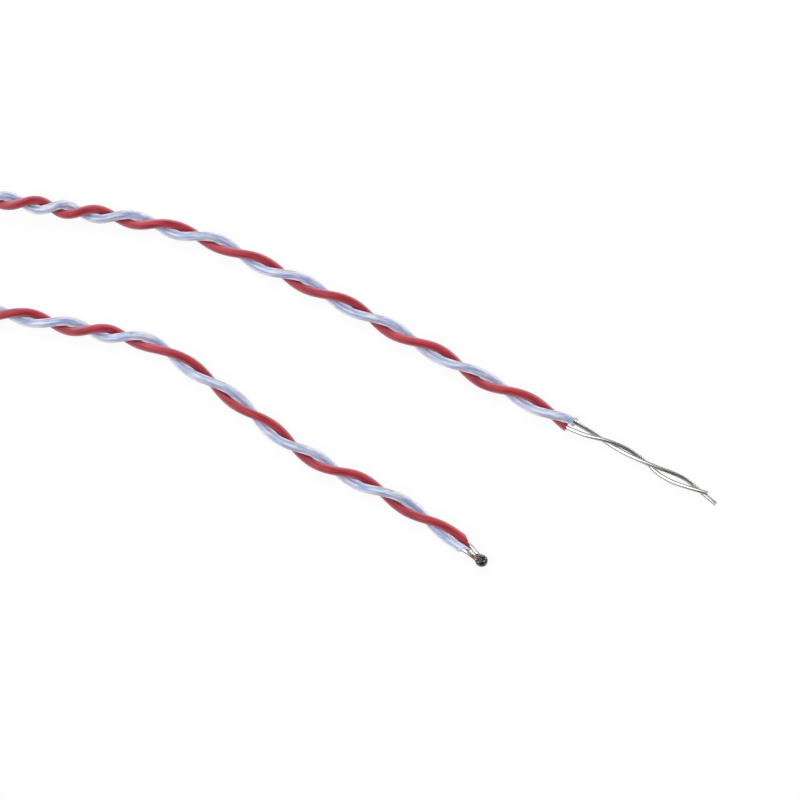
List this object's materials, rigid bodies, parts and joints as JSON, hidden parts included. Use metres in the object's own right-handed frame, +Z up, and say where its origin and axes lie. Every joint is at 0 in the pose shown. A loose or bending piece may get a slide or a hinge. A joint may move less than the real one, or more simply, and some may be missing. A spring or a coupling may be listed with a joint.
{
  "type": "exposed junction thermocouple",
  "caption": "Exposed junction thermocouple: a twisted pair of insulated solid wires, welded into a bead at one end and stripped bare at the other.",
  "frame": {"origin": "centre of the weld bead, on the middle plane of the twisted pair", "axes": "+X to the right along the two leads, away from the coil; +Z up, away from the surface that the thermocouple lies on"},
  "size_m": [0.1367, 0.0603, 0.0052],
  "materials": {
    "weld_metal": "dark oxidised weld metal, slightly lumpy, with a brown heat tint towards the wires",
    "positive_alloy": "bright drawn nickel alloy wire",
    "negative_alloy": "bright drawn nickel alloy wire, slightly greyer",
    "clear_polymer": "translucent waxy fluoropolymer over the wire",
    "red_polymer": "waxy red fluoropolymer",
    "coil_polymer": "the turns of the pair, red and clear",
    "tie_polymer": "pale flexible band"
  },
  "bodies": {
    "root": {"junction_bead": "weld_metal", "positive_wire": "positive_alloy", "negative_wire": "negative_alloy", "clear_insulation": "clear_polymer", "red_insulation": "red_polymer", "stored_coil": "coil_polymer", "coil_tie": "tie_polymer"}
  },
  "joints": []
}
